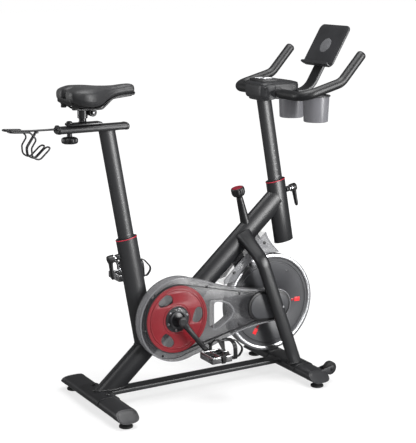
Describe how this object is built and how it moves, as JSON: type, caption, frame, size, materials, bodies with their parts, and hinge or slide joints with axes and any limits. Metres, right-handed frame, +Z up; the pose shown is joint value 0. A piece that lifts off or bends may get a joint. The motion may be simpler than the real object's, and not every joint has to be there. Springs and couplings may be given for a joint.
{
  "type": "exercise bike",
  "caption": "Indoor exercise bike with an oval-tube frame, belt-driven flywheel, adjustable saddle and handlebar, tablet holder, bottle cups and a rear wire rack.",
  "frame": {"origin": "centre of the whole bike's bounding box, on the floor", "axes": "+X forward, towards the handlebar; +Y the rider's left; +Z up"},
  "size_m": [1.3547, 0.5138, 1.3454],
  "materials": {
    "frame": "satin charcoal powder coat",
    "steel": "brushed",
    "flywheel": "dark enamelled disc with a polished rim",
    "pulley": "crimson, gloss",
    "pedal": "bare, satin",
    "arm": "black, satin",
    "black_plastic": "fine grained",
    "collar": "red",
    "smoke": "smoky and see-through",
    "rubber": "matte",
    "foam": "matte foam",
    "leather": "matte, fine grained"
  },
  "bodies": {
    "frame": {"main_tube": "frame", "seat_tube": "frame", "head_tube": "frame", "front_leg_right": "frame", "front_leg_left": "frame", "base_rail": "frame", "rear_stabiliser": "frame", "front_stabiliser": "frame", "front_cap_right": "black_plastic", "front_cap_left": "black_plastic", "bottom_bracket": "steel", "flywheel_axle": "steel", "belt_guard_outer": "smoke", "belt_guard_inner": "smoke", "hub_cover": "black_plastic", "fender": "smoke", "tension_boot": "black_plastic", "seat_bushing": "collar", "head_bushing": "collar", "drive_belt": "rubber"},
    "foot_rear_right": {"rear_foot_right": "rubber"},
    "foot_rear_left": {"rear_foot_left": "rubber"},
    "foot_front_right": {"front_foot_right": "rubber"},
    "foot_front_left": {"front_foot_left": "rubber"},
    "wheel_right": {"transport_wheel_right": "rubber"},
    "wheel_left": {"transport_wheel_left": "rubber"},
    "flywheel": {"flywheel": "flywheel"},
    "crank": {"crank_pulley": "pulley", "crank_arm_right": "arm", "crank_arm_left": "arm"},
    "pedal_right": {"pedal_right": "pedal", "toe_cage_right": "black_plastic"},
    "pedal_left": {"pedal_left": "pedal", "toe_cage_left": "black_plastic"},
    "brake": {"brake_rod": "steel"},
    "knob": {"tension_knob": "black_plastic"},
    "magnet": {"magnet_carriage": "steel"},
    "seat_pin": {"seat_pin": "steel"},
    "seat_lever": {"seat_lever": "black_plastic"},
    "head_pin": {"head_pin": "steel"},
    "head_lever": {"head_lever": "black_plastic"},
    "seat_post": {"seat_post": "frame", "seat_rail": "frame", "dumbbell_rack": "frame"},
    "carriage": {"seat_carriage": "frame", "saddle_clamp": "frame"},
    "slider_knob": {"slider_knob": "black_plastic"},
    "saddle": {"saddle_rails": "frame", "saddle_base": "black_plastic", "saddle_cushion": "leather"},
    "handlebar": {"handlebar_post": "frame", "handlebar": "frame", "grip_right": "foam", "grip_left": "foam", "console": "black_plastic", "cup_tray": "black_plastic", "cup_right": "smoke", "cup_left": "smoke", "tablet_arm": "black_plastic"},
    "tablet": {"tablet_plate": "black_plastic"}
  },
  "joints": [
    {"name": "flywheel_spin", "type": "hinge", "parent": "frame", "child": "flywheel", "pos_m": [0.371, 0, 0.295], "axis": [0, 1, 0], "continuous": true},
    {"name": "crank_spin", "type": "hinge", "parent": "frame", "child": "crank", "pos_m": [-0.061, 0, 0.303], "axis": [0, 1, 0], "continuous": true},
    {"name": "pedal_right_spin", "type": "hinge", "parent": "crank", "child": "pedal_right", "pos_m": [0.04552, -0.158, 0.17051], "axis": [0, 1, 0], "continuous": true},
    {"name": "pedal_left_spin", "type": "hinge", "parent": "crank", "child": "pedal_left", "pos_m": [-0.16752, 0.158, 0.43549], "axis": [0, 1, 0], "continuous": true},
    {"name": "seat_height", "type": "slide", "parent": "frame", "child": "seat_post", "axis": [-0.1736, 0, 0.9848], "range_m": [-0.2, 0.03]},
    {"name": "seat_reach", "type": "slide", "parent": "seat_post", "child": "carriage", "axis": [1, 0, 0], "range_m": [-0.02, 0.07]},
    {"name": "slider_knob_turn", "type": "hinge", "parent": "carriage", "child": "slider_knob", "pos_m": [-0.445, 0, 0.99], "axis": [0, 0, 1], "range_deg": [0, 360]},
    {"name": "saddle_tilt", "type": "hinge", "parent": "carriage", "child": "saddle", "pos_m": [-0.367, 0, 1.078], "axis": [0, 1, 0], "range_deg": [-8, 8]},
    {"name": "handlebar_height", "type": "slide", "parent": "frame", "child": "handlebar", "axis": [-0.1736, 0, 0.9848], "range_m": [-0.1, 0.03]},
    {"name": "tablet_tilt", "type": "hinge", "parent": "handlebar", "child": "tablet", "pos_m": [0.61379, 0, 1.21767], "axis": [0, 1, 0], "range_deg": [-6, 20]},
    {"name": "seat_pin_pull", "type": "slide", "parent": "frame", "child": "seat_pin", "axis": [-0.9848, 0, -0.1736], "range_m": [0, 0.012], "stiffness_N_per_m": 1500, "springref_m": -0.004},
    {"name": "seat_lever_swivel", "type": "hinge", "parent": "seat_pin", "child": "seat_lever", "pos_m": [-0.2244, 0, 0.559], "axis": [-0.9848, 0, -0.1736], "continuous": true},
    {"name": "head_pin_pull", "type": "slide", "parent": "frame", "child": "head_pin", "axis": [0.9848, 0, 0.1736], "range_m": [0, 0.012], "stiffness_N_per_m": 1500, "springref_m": -0.004},
    {"name": "head_lever_swivel", "type": "hinge", "parent": "head_pin", "child": "head_lever", "pos_m": [0.41003, 0, 0.721], "axis": [0.9848, 0, 0.1736], "continuous": true},
    {"name": "brake_press", "type": "slide", "parent": "frame", "child": "brake", "axis": [0.2588, 0, -0.9659], "range_m": [0, 0.004], "stiffness_N_per_m": 4000, "springref_m": -0.004},
    {"name": "knob_turn", "type": "hinge", "parent": "brake", "child": "knob", "pos_m": [0.235, 0, 0.742], "axis": [0.2588, 0, -0.9659], "range_deg": [0, 360]},
    {"name": "magnet_feed", "type": "slide", "parent": "brake", "child": "magnet", "axis": [0.2588, 0, -0.9659], "range_m": [0, 0.002]},
    {"name": "foot_rear_right_turn", "type": "hinge", "parent": "frame", "child": "foot_rear_right", "pos_m": [-0.356, -0.22, 0], "axis": [0, 0, 1], "range_deg": [-180, 180]},
    {"name": "foot_rear_left_turn", "type": "hinge", "parent": "frame", "child": "foot_rear_left", "pos_m": [-0.356, 0.22, 0], "axis": [0, 0, 1], "range_deg": [-180, 180]},
    {"name": "foot_front_right_turn", "type": "hinge", "parent": "frame", "child": "foot_front_right", "pos_m": [0.457, -0.22, 0], "axis": [0, 0, 1], "range_deg": [-180, 180]},
    {"name": "foot_front_left_turn", "type": "hinge", "parent": "frame", "child": "foot_front_left", "pos_m": [0.457, 0.22, 0], "axis": [0, 0, 1], "range_deg": [-180, 180]},
    {"name": "wheel_right_spin", "type": "hinge", "parent": "frame", "child": "wheel_right", "pos_m": [0.525, -0.205, 0.058], "axis": [0, 1, 0], "continuous": true},
    {"name": "wheel_left_spin", "type": "hinge", "parent": "frame", "child": "wheel_left", "pos_m": [0.525, 0.205, 0.058], "axis": [0, 1, 0], "continuous": true}
  ],
  "couplings": [
    {"joint": "crank_spin", "follows": "flywheel_spin", "ratio": 0.25},
    {"joint": "knob_turn", "follows": "magnet_feed", "rad_per_m": 3138.5}
  ]
}
